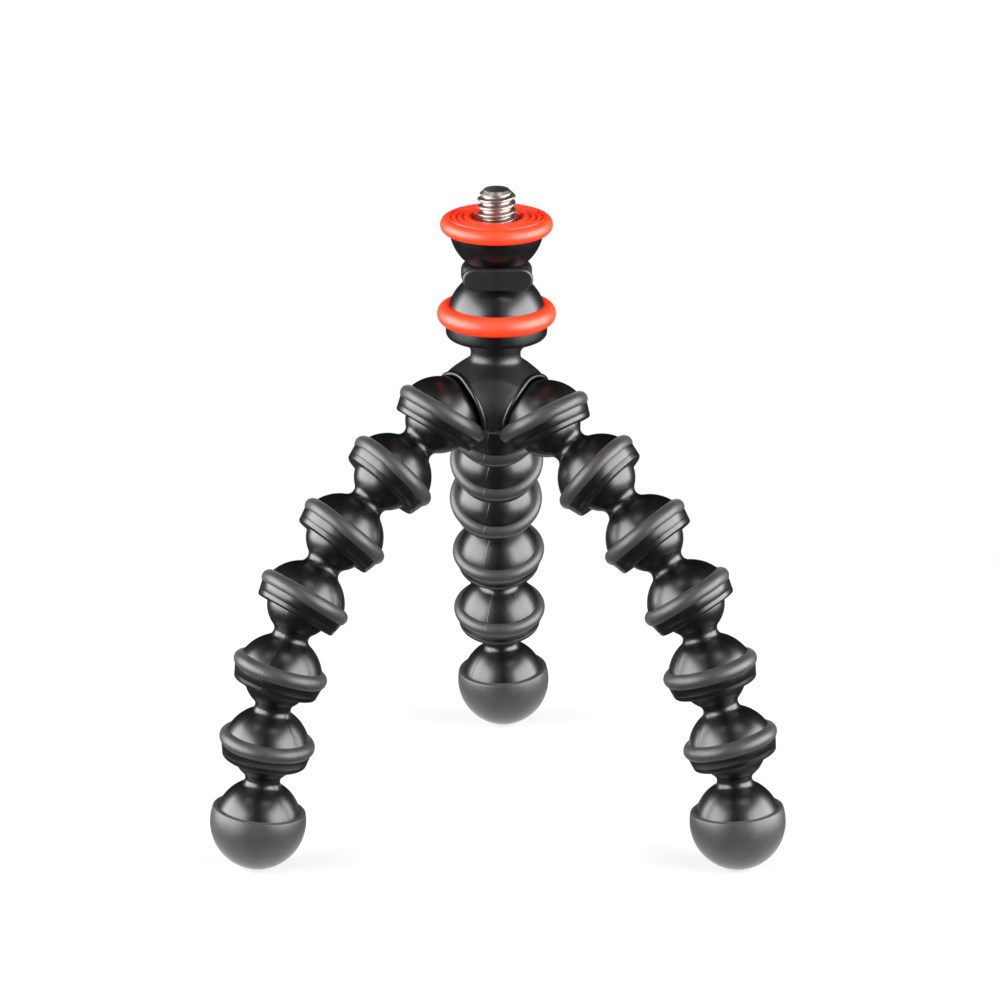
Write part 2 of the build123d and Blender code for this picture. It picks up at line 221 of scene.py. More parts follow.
# Grain of the materials: scales per metre, the streaks round a piece per radian, the roughness of the
# cloud noise, and the span of each noise that a look is spread over
FLOW_SCALE = 260.0
SCUFF_SCALE = 900.0
CLOUD_SCALE = 330.0
CLOUD_ROUGHNESS = 0.6
PIT_SCALE = 5200.0
STREAKS_AROUND = 5.0
STREAKS_ALONG = 40.0
TURNING_SCALE = (300.0, 300.0, 14000.0)
WIDE_SPAN = (0.30, 0.70)
MIDDLE_SPAN = (0.35, 0.65)
SCUFF_SPAN = (0.45, 0.75)
STAIN_SPAN = (0.35, 0.70)

# Roughness: what the grain adds to a material's own or takes off it, the steel's ends and the sheen's
STREAK_SMOOTHER = 0.02
STREAK_ROUGHER = 0.03
SCUFF_ROUGHER = 0.03
PIT_ROUGHER = 0.06
STEEL_ROUGHNESS = (0.31, 0.42)
SHEEN_ROUGHNESS = 0.35

# Relief: its depth, its strength on each material, the share of each grain in its height, and the
# widths of the parting lines
RELIEF_DEPTH = 0.1 * MM
STEEL_RELIEF_DEPTH = 0.02 * MM
PLASTIC_RELIEF = 0.6
RUBBER_RELIEF = 0.7
STEEL_RELIEF = 0.25
STREAK_SHARE = 0.02
FLOW_SHARE = 0.04
PIT_SHARE = 0.05
CLOUD_SHARE = 0.12
PLASTIC_LINE_WIDTH = 0.11 * MM
RUBBER_LINE_WIDTH = 0.12 * MM

# Studio floor as the camera sees it and as it lights the tripod, and the glow round each foot
WHITE = (1, 1, 1, 1)
FLOOR_HALF = 130 * MM
FLOOR_SEEN = 0.70
FLOOR_VEIL = (0.20, 0.20, 0.20, 1)
FLOOR_BOUNCE = (0.04, 0.04, 0.04, 1)
GLOW_SPAN = (7 * MM, 24 * MM)
GLOW_LEVEL = 1.5

# Brightness of the surroundings, as the object reflects them and as the camera sees them
ROOM_LEVEL = 0.01
SKY_LEVEL = 1.0

# Lights: azimuth and elevation in degrees, width and height in metres, watts
LIGHT_DISTANCE = 0.7
LIGHT_AIM = Vector((0, 0, -50 * MM))
LIGHTS = {
    "key_left": (-76, 14, 1.10, 0.66, 26.0),
    "key_right": (76, 14, 1.10, 0.66, 26.0),
    "top_left": (-62, 62, 0.20, 0.20, 0.45),
    "top_right": (48, 64, 0.24, 0.24, 0.80),
    "wing_left": (-27, 18, 0.27, 0.72, 0.5),
    "wing_right": (27, 18, 0.27, 0.72, 0.3),
}

# Camera, fitted to the photograph
CAMERA_TURN = math.radians(2.0)
CAMERA_ELEVATION = math.radians(18.94)
CAMERA_DISTANCE = 0.98713
CAMERA_AIM = Vector((0.00058, 0.0, -0.05003))
CAMERA_SENSOR = 36.0
CAMERA_LENS = 209.86
CAMERA_CLIP = (0.01, 20.0)


# Profiles: lists of (radius, height) whose outer side runs downwards, so that the faces look out


def arc(centre, radius, start, end, steps=None):
    """Points of an arc about a centre, angles in radians from the outward direction."""
    steps = steps or max(ARC_MIN_STEPS, round(abs(end - start) * radius / ARC_STEP))
    points = []
    for k in range(steps + 1):
        turn = start + (end - start) * k / steps
        points.append((centre[0] + radius * math.cos(turn), centre[1] + radius * math.sin(turn)))
    return points


def angle(centre, point):
    """Direction of a point seen from a centre."""
    return math.atan2(point[1] - centre[1], point[0] - centre[0])


def rounded(before, corner, after, radius, steps=CORNER_STEPS):
    """Points that round a corner between its two neighbours."""
    c = Vector(corner)
    a, b = Vector(before) - c, Vector(after) - c
    reach = min(radius, a.length * CORNER_REACH_SHARE, b.length * CORNER_REACH_SHARE)
    start, end = c + a.normalized() * reach, c + b.normalized() * reach
    points = []
    for k in range(steps + 1):
        t = k / steps
        p = start * (1 - t) ** 2 + c * 2 * t * (1 - t) + end * t**2
        points.append((p.x, p.y))
    return points


def ease(share):
    """A share from 0 to 1 with a soft start and end."""
    return share * share * (3 - 2 * share)


def meet(c0, r0, c1, r1, outer=True):
    """Where two circles cross, the crossing further from the axis unless told otherwise."""
    a, b = Vector(c0), Vector(c1)
    d = (b - a).length
    along = (d * d + r0 * r0 - r1 * r1) / (2 * d)
    off = math.sqrt(max(r0 * r0 - along * along, 0.0))
    mid = a + (b - a) * (along / d)
    side = Vector((-(b - a).y, (b - a).x)) / d * off
    pair = sorted((mid + side, mid - side), key=lambda p: p.x)
    return tuple(pair[-1] if outer else pair[0])


def neck(ball_z, ball_radius, dome_z, dome_radius):
    """Fillet circle of a neck and the points where it touches the ball above and the dome below."""
    centre = meet((0, ball_z), ball_radius + NECK_FILLET, (0, dome_z), dome_radius + NECK_FILLET)
    upper = ball_radius / (ball_radius + NECK_FILLET)
    lower = dome_radius / (dome_radius + NECK_FILLET)
    top = (centre[0] * upper, ball_z + (centre[1] - ball_z) * upper)
    bottom = (centre[0] * lower, dome_z + (centre[1] - dome_z) * lower)
    return centre, top, bottom


def ball_and_neck(lower_radius):
    """From the ball's flat top down its neck to the start of the dome a pitch below."""
    top_z = math.sqrt(BALL_RADIUS**2 - BALL_FLAT_RADIUS**2)
    centre, upper, lower = neck(0, BALL_RADIUS, -LINK_PITCH, lower_radius)
    start = math.acos(BALL_FLAT_RADIUS / BALL_RADIUS)
    points = [(0, top_z)]
    points += arc((0, 0), BALL_RADIUS, start, angle((0, 0), upper))
    points += arc(centre, NECK_FILLET, angle(centre, upper), 2 * math.pi + angle(centre, lower))[1:]
    return points, lower


def ring_groove(centre_z, dome, lip_radius, ring, tube, floor):
    """Round-bottomed groove of a grip ring between the dome above it and the lip below."""
    hold = (ring, centre_z)
    radius, depth = tube + RING_GAP, floor - RING_GAP
    upper = meet(dome[0], dome[1], hold, radius)
    if upper[1] < centre_z:
        upper = meet(dome[0], dome[1], hold, radius, outer=False)
    half = math.sqrt(radius**2 - (ring - depth) ** 2)
    lower = (lip_radius, centre_z - math.sqrt(radius**2 - (lip_radius - ring) ** 2))
    down = arc(hold, radius, angle(hold, upper), math.pi - math.asin(half / radius))
    up = arc(hold, radius, math.pi + math.asin(half / radius), 2 * math.pi + angle(hold, lower))
    return upper, down + up, lower


def lip(start, centre_z, hollow):
    """Outer wall of a socket's lip with its fine seam, the bottom edge and the hollow to its crown."""
    bottom = centre_z - LIP_DROP
    foot = (LIP_BOTTOM_RADIUS, bottom + LIP_CHAMFER)
    step_z = start[1] + (foot[1] - start[1]) * LIP_STEP_SHARE
    step_r = start[0] + (foot[0] - start[0]) * LIP_STEP_SHARE
    mouth = (math.sqrt(hollow**2 - LIP_DROP**2), bottom)
    inner = (LIP_BOTTOM_RADIUS - LIP_CHAMFER, bottom)
    points = [(step_r, step_z), (step_r - LIP_STEP, step_z - LIP_SEAM)]
    points += [(step_r - LIP_SEAM / 2, step_z - 2 * LIP_SEAM)]
    points += rounded(points[-1], foot, inner, EDGE_ROUND * 2)
    points += rounded(foot, inner, mouth, EDGE_ROUND * 2)
    points += [mouth]
    points += arc((0, centre_z), hollow, -math.acos(mouth[0] / hollow), math.pi / 2)[1:]
    return points


def socket_profile(centre_z, start_angle):
    """Dome, groove, lip and hollow of a socket, from a direction on its dome."""
    dome = ((0, centre_z), DOME_RADIUS)
    upper, groove, lower = ring_groove(
        centre_z + RING_RISE, dome, LIP_TOP_RADIUS, RING_RADIUS, RING_TUBE, RING_FLOOR
    )
    points = arc(dome[0], DOME_RADIUS, start_angle, angle(dome[0], upper))
    return points + groove[1:] + lip(lower, centre_z, BALL_RADIUS + SOCKET_GAP)


def link_profile():
    """Link: the ball above, its neck and the socket a pitch below."""
    points, start = ball_and_neck(DOME_RADIUS)
    return points[:-1] + socket_profile(-LINK_PITCH, angle((0, -LINK_PITCH), start))


def hub_socket_profile():
    """Upper socket of a leg, closed to the crown of its dome."""
    return socket_profile(0, math.pi / 2)


def ring_profile(radius, tube, floor):
    """Closed section of a grip ring: round outside, flat inside with softened corners."""
    half = math.acos((radius - floor) / tube)
    outside = arc((radius, 0), tube, math.pi - half, half - math.pi)
    points = outside[1:-1]
    points += rounded(outside[-2], outside[-1], (floor, 0), EDGE_ROUND)
    points += rounded((floor, 0), outside[0], outside[1], EDGE_ROUND)
    return points


def foot_core_profile():
    """Core of a foot: the last ball, its neck and a larger ball with a flat underside."""
    points, start = ball_and_neck(FOOT_CORE_RADIUS)
    centre = (0, -LINK_PITCH)
    end = -math.asin(BOOT_CORE_FLAT / FOOT_CORE_RADIUS)
    points += arc(centre, FOOT_CORE_RADIUS, angle(centre, start), end)[1:]
    return points + [(0, -LINK_PITCH - BOOT_CORE_FLAT)]


def boot_profile():
    """Rubber boot: rounded rim, swelling wall and slightly pointed sole, closed inside."""
    inner_rim = (math.sqrt(FOOT_CORE_RADIUS**2 - BOOT_RISE**2), BOOT_RISE)
    outer_rim = (math.sqrt(BOOT_RADIUS**2 - BOOT_RISE**2), BOOT_RISE)
    inner_end = -math.asin(BOOT_CORE_FLAT / FOOT_CORE_RADIUS)
    inside = arc((0, 0), FOOT_CORE_RADIUS, inner_end, math.asin(BOOT_RISE / FOOT_CORE_RADIUS))
    outside = arc((0, 0), BOOT_RADIUS, math.asin(BOOT_RISE / BOOT_RADIUS), -math.pi / 2)
    outside = [(max(r, 0), z * (1 + BOOT_POINT / BOOT_RADIUS) if z < 0 else z) for r, z in outside]
    points = [(0, -BOOT_CORE_FLAT)] + inside[:-1]
    points += rounded(inside[-2], inner_rim, outer_rim, BOOT_RIM_ROUND, RIM_STEPS)
    points += rounded(inner_rim, outer_rim, outside[2], BOOT_RIM_ROUND, RIM_STEPS)
    return points + outside[2:]


def pad_profile():
    """Seat pad: softly rippled grooves from the hole round the screw out to a bulging rim."""
    bottom = -PAD_THICKNESS
    face = []
    for radius in PAD_GROOVE_RADII:
        face += groove_dip(radius)
    points = rounded((PAD_HOLE_RADIUS, bottom), (PAD_HOLE_RADIUS, 0), face[0], PAD_GROOVE_WIDTH)
    points += face
    points += arc((PAD_RIM_RADIUS, -PAD_RIM_DROP), PAD_RIM_TUBE, math.pi / 2, PAD_RIM_TUCK - math.pi / 2)
    return points + [(PAD_RIM_RADIUS, bottom), (PAD_HOLE_RADIUS, bottom)]


def groove_dip(radius):
    """One rounded groove of the seat pad, from its inner shoulder to its outer one."""
    width = PAD_GROOVE_WIDTH * PAD_GROOVE_SPREAD_SHARE
    points = []
    for k in range(GROOVE_STEPS + 1):
        t = 2 * k / GROOVE_STEPS - 1
        points.append((radius + t * width, -PAD_GROOVE_DEPTH * (0.5 + 0.5 * math.cos(math.pi * t))))
    return points


def head_profile():
    """Bowl, neck, dome, lip and hollow of the head."""
    seat = -PAD_THICKNESS
    bowl, dome = (0, -BOWL_DROP), (0, -HEAD_DOME_DROP)
    rim = (math.sqrt(BOWL_RADIUS**2 - (seat + BOWL_DROP) ** 2), seat)
    bowl_end = -math.acos(HEAD_NECK_RADIUS / BOWL_RADIUS)
    dome_start = math.acos(HEAD_NECK_RADIUS / HEAD_DOME_RADIUS)
    hollow = HEAD_BALL_RADIUS + SOCKET_GAP
    depth = HEAD_LIP_DROP - HEAD_JOINT_DROP
    mouth = (math.sqrt(hollow**2 - depth**2), -HEAD_LIP_DROP)
    upper, groove, lower = ring_groove(
        -HEAD_RING_DROP,
        (dome, HEAD_DOME_RADIUS),
        HEAD_LIP_RADIUS,
        HEAD_RING_RADIUS,
        HEAD_RING_TUBE,
        HEAD_RING_FLOOR,
    )
    corner = (HEAD_LIP_RADIUS - HEAD_LIP_CORNER, -HEAD_LIP_DROP + HEAD_LIP_CORNER)
    points = [(0, seat), (rim[0] - EDGE_ROUND, seat)]
    points += arc(bowl, BOWL_RADIUS, angle(bowl, rim), bowl_end)
    points += arc(dome, HEAD_DOME_RADIUS, dome_start, angle(dome, upper))
    points += groove[1:]
    points += arc(corner, HEAD_LIP_CORNER, 0, -math.pi / 2)
    points += [mouth]
    centre = (0, -HEAD_JOINT_DROP)
    return points + arc(centre, hollow, -math.asin(depth / hollow), math.pi / 2)[1:]


def band_profile():
    """Band round the neck: a closed loop, its outer corners well rounded."""
    low, high = -BAND_DROP - BAND_HEIGHT / 2, -BAND_DROP + BAND_HEIGHT / 2
    inner = HEAD_NECK_RADIUS + RING_GAP
    c = BAND_RADIUS - BAND_CORNER
    points = [(inner + EDGE_ROUND, high)]
    points += arc((c, high - BAND_CORNER), BAND_CORNER, math.pi / 2, 0)
    points += arc((c, low + BAND_CORNER), BAND_CORNER, 0, -math.pi / 2)
    points += [(inner + EDGE_ROUND, low), (inner, low + EDGE_ROUND), (inner, high - EDGE_ROUND)]
    return points


# Meshes


def new_object(name, data):
    """Object in the scene for a mesh, curve, light or camera."""
    piece = bpy.data.objects.new(name, data)
    bpy.context.scene.collection.objects.link(piece)
    return piece


def new_mesh(name, vertices, faces):
    """Mesh from its points and faces."""
    mesh = bpy.data.meshes.new(name)
    mesh.from_pydata(vertices, [], faces)
    mesh.update()
    return mesh


def settled(piece):
    """Mesh of an object with its modifiers, or its curve, worked out."""
    bpy.context.view_layer.update()
    graph = bpy.context.evaluated_depsgraph_get()
    return bpy.data.meshes.new_from_object(piece.evaluated_get(graph), depsgraph=graph)


def smooth(mesh, limit=SMOOTH_LIMIT):
    """Shades a mesh smoothly but for edges sharper than a limit."""
    for polygon in mesh.polygons:
        polygon.use_smooth = True
    mesh.set_sharp_from_angle(angle=limit)
    return mesh


def around(radius, turn, z):
    """Point at a distance and direction from the Z axis."""
    return (radius * math.cos(turn), radius * math.sin(turn), z)


def lathe(name, profile, closed=False):
    """Mesh that a profile sweeps about Z, welded where it meets the axis."""
    vertices, faces, rows = [], [], []
    for radius, z in profile:
        if radius < AXIS_REACH:
            rows.append([len(vertices)] * TURNS)
            vertices.append((0, 0, z))
            continue
        rows.append(range(len(vertices), len(vertices) + TURNS))
        vertices += [around(radius, 2 * math.pi * k / TURNS, z) for k in range(TURNS)]
    pairs = list(zip(rows, rows[1:])) + ([(rows[-1], rows[0])] if closed else [])
    for upper, lower in pairs:
        for k in range(TURNS):
            n = (k + 1) % TURNS
            corners = [upper[k], lower[k], lower[n], upper[n]]
            face = [v for i, v in enumerate(corners) if v not in corners[:i]]
            if len(face) > 2:
                faces.append(face)
    return smooth(new_mesh(name, vertices, faces))


def stacked(name, loops):
    """Mesh through loops with as many points each, closed by a face at both ends."""
    count = len(loops[0])
    last = (len(loops) - 1) * count
    faces = []
    for i in range(0, last, count):
        for k in range(count):
            n = (k + 1) % count
            faces.append((i + k, i + n, i + count + n, i + count + k))
    faces.append(tuple(reversed(range(count))))
    faces.append(tuple(range(last, last + count)))
    return smooth(new_mesh(name, [point for loop in loops for point in loop], faces))


def thread_mesh():
    """Camera screw: one turned surface whose radius follows the thread, the tip cone and the shank."""
    loops = []
    for i in range(SCREW_ROWS + 1):
        z = -PAD_THICKNESS + (SCREW_HEIGHT + PAD_THICKNESS) * i / SCREW_ROWS
        turns = [2 * math.pi * k / TURNS for k in range(TURNS)]
        loops.append([around(thread_radius(turn, z), turn, z) for turn in turns])
    return stacked("camera_screw", loops)


def thread_radius(turn, z):
    """Radius of the screw's surface at a direction and height."""
    cone = SCREW_RADIUS - max(0.0, z - (SCREW_HEIGHT - SCREW_TIP_CHAMFER))
    if z < SCREW_BOTTOM:
        return SCREW_RADIUS
    phase = (z - SCREW_BOTTOM + SCREW_THREAD_DROP) / SCREW_PITCH - turn / (2 * math.pi)
    away = abs(phase - round(phase)) * 2
    flank = min(1.0, max(0.0, (away - SCREW_CREST_SHARE) / (1 - 2 * SCREW_CREST_SHARE)))
    fall = SCREW_STRAIGHT_SHARE * flank + (1 - SCREW_STRAIGHT_SHARE) * ease(flank)
    return min(cone, SCREW_RADIUS - SCREW_DEPTH * fall)


def tag_mesh():
    """Blank stadium tag with a rounded front edge, bent a little round the neck."""
    end = TAG_HEIGHT / 2
    half = TAG_LENGTH / 2 - end
    outline = []
    for side in (1, -1):
        for x, z in arc((half, 0), end, -math.pi / 2, math.pi / 2, TAG_END_STEPS):
            outline.append((side * x, side * z))
    layers = [(0, TAG_THICKNESS)]
    for k in range(TAG_EDGE_STEPS + 1):
        t = math.pi / 2 * k / TAG_EDGE_STEPS
        layers.append((TAG_EDGE * (1 - math.cos(t)), TAG_EDGE * (1 - math.sin(t))))
    loops = []
    for inset, depth in layers:
        share = 1 - inset / end
        loop = []
        for x, z in outline:
            nearest = max(-half, min(half, x))
            px = nearest + (x - nearest) * share
            back = depth + px * px / (2 * TAG_BEND_RADIUS)
            loop.append((px, back - TAG_FRONT, z * share - TAG_DROP))
        loops.append(loop)
    return with_flat_front(stacked("tag_plate", loops))


def with_flat_front(mesh):
    """Keeps the rounded edge's shading off the last face of a mesh."""
    front = set(mesh.polygons[-1].edge_keys)
    for edge in mesh.edges:
        if edge.key in front:
            edge.use_edge_sharp = True
    return mesh


# Placing


def upright(origin, up):
    """Matrix that takes +Z to a direction and keeps the X side level."""
    z = up.normalized()
    x = Vector((-z.y, z.x, 0)) if abs(z.z) < UPRIGHT_LIMIT else Vector((1, 0, 0))
    x.normalize()
    y = z.cross(x)
    rotation = Matrix((x, y, z)).transposed().to_4x4()
    return Matrix.Translation(origin) @ rotation


def spun(place, leg, k):
    """Placing of a leg's piece turned about its own axis to bring its parting line round."""
    turn = LINE_TURNS.get(f"{k}_{leg}", LEG_TURNS[leg])
    return place @ Matrix.Rotation(math.radians(turn), 4, "Z")


def add(name, mesh, place, body, slot, material, *nodes):
    """A finished piece that rides on a body and stands for its CAD nodes."""
    piece = new_object(name, mesh)
    piece.matrix_world = place
    if not mesh.materials:
        mesh.materials.append(material)
    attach(piece, body)
    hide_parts(*nodes)


# Materials


class Nodes:
    """Short names for building one material's nodes."""

    def __init__(self, name):
        self.material = bpy.data.materials.new(name)
        self.material.use_nodes = True
        self.tree = self.material.node_tree
        self.shader = self.tree.nodes["Principled BSDF"]
        self.place = self.new("ShaderNodeTexCoord").outputs["Object"]

    def new(self, kind, **values):
        """A node with some inputs or settings given by name."""
        node = self.tree.nodes.new(kind)
        for key, value in values.items():
            if key in node.inputs:
                node.inputs[key].default_value = value
            else:
                setattr(node, key, value)
        return node

    def link(self, source, target):
        """Joins an output to an input."""
        self.tree.links.new(source, target)

    def math(self, operation, a, b=0.0, c=0.0):
        """One operation, such as a sum or a product, on numbers and outputs."""
        node = self.new("ShaderNodeMath", operation=operation)
        for socket, value in zip(node.inputs, (a, b, c)):
            if isinstance(value, (int, float)):
                socket.default_value = value
            else:
                self.link(value, socket)
        return node.outputs[0]

    def noise(self, scale, detail, coordinates=None, roughness=0.5):
        """Cloudy value over the piece, or over other coordinates."""
        node = self.new("ShaderNodeTexNoise", Scale=scale, Detail=detail, Roughness=roughness)
        self.link(coordinates or self.place, node.inputs["Vector"])
        return node.outputs["Fac"]

    def ramp(self, value, span, first=0.0, last=1.0):
        """Maps a span of a value to another one, kept inside it."""
        node = self.new("ShaderNodeMapRange", clamp=True)
        for key, number in zip(("From Min", "From Max", "To Min", "To Max"), (*span, first, last)):
            node.inputs[key].default_value = number
        self.link(value, node.inputs["Value"])
        return node.outputs["Result"]

    def tint(self, value, tones):
        """Base colour between two tones, by a value from 0 to 1."""
        node = self.new("ShaderNodeMix", data_type="RGBA")
        for key, tone in zip(("A", "B"), tones):
            node.inputs[key].default_value = (*tone, 1)
        self.link(value, node.inputs["Factor"])
        self.link(node.outputs["Result"], self.shader.inputs["Base Color"])

    def bump(self, height, strength, distance):
        """Fine relief by a height."""
        node = self.new("ShaderNodeBump", Strength=strength, Distance=distance)
        self.link(height, node.inputs["Height"])
        self.link(node.outputs["Normal"], self.shader.inputs["Normal"])

    def meridians(self):
        """Coordinates that stretch a noise into streaks from pole to pole."""
        split = self.new("ShaderNodeSeparateXYZ")
        self.link(self.place, split.inputs[0])
        join = self.new("ShaderNodeCombineXYZ")
        turn = self.math("ARCTAN2", split.outputs["Y"], split.outputs["X"])
        self.link(self.math("MULTIPLY", turn, STREAKS_AROUND), join.inputs["X"])
        self.link(self.math("MULTIPLY", split.outputs["Z"], STREAKS_ALONG), join.inputs["Y"])
        return join.outputs[0]

    def mould_line(self, width):
        """1 along the parting line of a turned piece, in its own upright plane, else 0."""
        split = self.new("ShaderNodeSeparateXYZ")
        self.link(self.place, split.inputs[0])
        away = self.math("ABSOLUTE", split.outputs["Y"])
        return self.ramp(away, (0.0, width), 1.0, 0.0)


def moulded_plastic(name, tones, rough, line=0.0):
    """Polished moulding: streaks that run down from its top, a hair of wear and a parting line."""
    n = Nodes(name)
    flow = n.noise(FLOW_SCALE, detail=3.0)
    streak = n.noise(1.0, detail=2.0, coordinates=n.meridians())
    scuff = n.noise(SCUFF_SCALE, detail=4.0)
    n.tint(n.ramp(flow, MIDDLE_SPAN), tones)
    worn = n.ramp(scuff, SCUFF_SPAN, last=SCUFF_ROUGHER)
    streaked = n.ramp(streak, WIDE_SPAN, rough - STREAK_SMOOTHER, rough + STREAK_ROUGHER)
    n.link(n.math("ADD", streaked, worn), n.shader.inputs["Roughness"])
    height = n.math("MULTIPLY", streak, STREAK_SHARE)
    height = n.math("MULTIPLY_ADD", flow, FLOW_SHARE, height)
    if line:
        height = n.math("MULTIPLY_ADD", n.mould_line(PLASTIC_LINE_WIDTH), line, height)
    n.bump(height, PLASTIC_RELIEF, RELIEF_DEPTH)
    return n.material


def soft_rubber(name, tones, rough, line=0.0, sheen=0.0):
    """Moulded rubber: matt, cloudy, finely pitted, with a faint flash line."""
    n = Nodes(name)
    cloud = n.noise(CLOUD_SCALE, detail=5.0, roughness=CLOUD_ROUGHNESS)
    pits = n.noise(PIT_SCALE, detail=3.0)
    n.tint(n.ramp(cloud, WIDE_SPAN), tones)
    pitted = n.ramp(pits, WIDE_SPAN, rough - PIT_ROUGHER, rough + PIT_ROUGHER)
    n.link(pitted, n.shader.inputs["Roughness"])
    height = n.math("MULTIPLY", pits, PIT_SHARE)
    height = n.math("MULTIPLY_ADD", cloud, CLOUD_SHARE, height)
    if line:
        height = n.math("MULTIPLY_ADD", n.mould_line(RUBBER_LINE_WIDTH), line, height)
    n.bump(height, RUBBER_RELIEF, RELIEF_DEPTH)
    n.shader.inputs["Sheen Weight"].default_value = sheen
    n.shader.inputs["Sheen Roughness"].default_value = SHEEN_ROUGHNESS
    return n.material


def turned_steel(name):
    """Stainless screw: metal with fine turning lines and slight staining."""
    n = Nodes(name)
    stretch = n.new("ShaderNodeMapping", Scale=TURNING_SCALE)
    n.link(n.place, stretch.inputs["Vector"])
    lines = n.noise(1.0, detail=3.0, coordinates=stretch.outputs["Vector"])
    stain = n.noise(SCUFF_SCALE, detail=4.0)
    n.tint(n.ramp(stain, STAIN_SPAN), STEEL_TONES)
    n.link(n.ramp(lines, WIDE_SPAN, *STEEL_ROUGHNESS), n.shader.inputs["Roughness"])
    n.bump(lines, STEEL_RELIEF, STEEL_RELIEF_DEPTH)
    n.shader.inputs["Metallic"].default_value = 1.0
    return n.material


GLOSS = moulded_plastic("black_gloss", BLACK_TONES, rough=0.32)
HUB = moulded_plastic("black_hub", BLACK_TONES, rough=0.42)
LINK = moulded_plastic("black_link", LINK_TONES, rough=0.31, line=0.48)
TAG = moulded_plastic("black_tag", TAG_TONES, rough=0.40)
RED = soft_rubber("red_rubber", RED_TONES, rough=0.45)
GREY = soft_rubber("grey_rubber", GREY_TONES, rough=0.45, line=0.55, sheen=0.14)
BOOT = soft_rubber("boot_rubber", BOOT_TONES, rough=0.45, line=0.20, sheen=0.12)
STEEL = turned_steel("screw_steel")


# The tripod


def joint_places():
    """Centre and axis of each joint, by name."""
    return {j["name"]: (Vector(j["pos_m"]), Vector(j["axis"])) for j in frame["joints"]}


def middle(node):
    """Middle of a CAD node's box."""
    low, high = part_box(node)
    return (low + high) / 2


def leg_centres(places, leg):
    """Socket centres of a leg from the hub down, then the middle of its foot."""
    centres = [places[f"{leg}{k}_turn"][0] for k in range(1, SOCKETS + 1)]
    foot = middle(f"foot_boot_{leg}")
    direction = (foot - centres[-1]).normalized()
    return centres + [centres[-1] + direction * LINK_PITCH]


def leg_directions(places, leg, centres):
    """Up direction of each socket of a leg, then of its foot."""
    ups = []
    for k in range(SOCKETS):
        axis = places[f"{leg}{k + 1}_turn"][1]
        ups.append(axis if axis.dot(centres[k] - centres[k + 1]) > 0 else -axis)
    return ups + [(centres[-2] - centres[-1]).normalized()]


def build_head():
    """Bowl and dome, seat pad, neck band and tag, screw, and the ring of the head's joint."""
    place = Matrix.Identity(4)
    turned = Matrix.Rotation(TAG_TURN, 4, "Z")
    shell = lathe("head_shell", head_profile())
    pad = lathe("seat_rubber", pad_profile(), closed=True)
    band = lathe("neck_band", band_profile(), closed=True)
    ring = lathe("head_grip", ring_profile(HEAD_RING_RADIUS, HEAD_RING_TUBE, HEAD_RING_FLOOR), closed=True)
    at = Matrix.Translation((0, 0, -HEAD_RING_DROP))
    add("head_shell", shell, place, "head", "gloss_shell", GLOSS, "head_body")
    add("seat_rubber", pad, place, "head", "red_rubber", RED, "seat_pad")
    add("neck_band", band, place, "head", "tag_plastic", TAG, "tag_band")
    add("tag_plate", tag_mesh(), turned, "head", "tag_plastic", TAG, "tag_band")
    add("screw_thread", thread_mesh(), place, "head", "screw_steel", STEEL, "camera_screw")
    add("head_grip", ring, at, "head_swivel", "red_rubber", RED, "head_ring")


def build_leg(leg, places, link, socket, ring, core, boot):
    """One leg from its upper socket to its foot."""
    centres = leg_centres(places, leg)
    ups = leg_directions(places, leg, centres)
    place = upright(centres[0], ups[0])
    add(f"hub_cup_{leg}", socket, place, "hub", "gloss_shell", GLOSS, f"socket_{leg}")
    for k in range(1, SOCKETS + 1):
        place = spun(upright(centres[k - 1], ups[k - 1]), leg, k)
        at = place @ Matrix.Translation((0, 0, RING_RISE))
        add(f"grip_{k}_{leg}", ring, at, f"{leg}_swivel_{k}", "grip_rubber", GREY, f"ring_{k}_{leg}")
    for k in range(2, SOCKETS + 1):
        place = spun(upright(centres[k - 2], ups[k - 1]), leg, k)
        add(f"shell_{k}_{leg}", link, place, f"{leg}_link_{k}", "link_shell", LINK, f"link_{k}_{leg}")
    place = spun(upright(centres[-2], ups[-1]), leg, SOCKETS + 1)
    add(f"foot_ball_{leg}", core, place, f"{leg}_foot", "foot_core", LINK, f"foot_core_{leg}")
    at = spun(upright(centres[-1], ups[-1]), leg, SOCKETS + 1)
    add(f"foot_cap_{leg}", boot, at, f"{leg}_foot", "foot_rubber", BOOT, f"foot_boot_{leg}")


def build_legs(places):
    """The three legs, which share one mesh for each kind of piece."""
    link = lathe("link_shell", link_profile())
    socket = lathe("hub_cup", hub_socket_profile())
    ring = lathe("grip_ring", ring_profile(RING_RADIUS, RING_TUBE, RING_FLOOR), closed=True)
    core = lathe("foot_ball", foot_core_profile())
    boot = lathe("foot_cap", boot_profile())
    for leg in LEGS:
        build_leg(leg, places, link, socket, ring, core, boot)


def lobe_gap(turn):
    """Degrees between a direction and the nearest leg's lobe."""
    return min(abs(((math.degrees(turn) - lobe + 180) % 360) - 180) for lobe in HUB_LOBES)


def hub_round(turn):
    """Rounding of the hub's shoulder: tight over the lobes of the legs, wide between them."""
    share = max(0.0, (lobe_gap(turn) - LOBE_REACH) / (LOBE_HALF - LOBE_REACH))
    return HUB_SIDE_ROUND + (HUB_FRONT_ROUND - HUB_SIDE_ROUND) * ease(min(1.0, share))


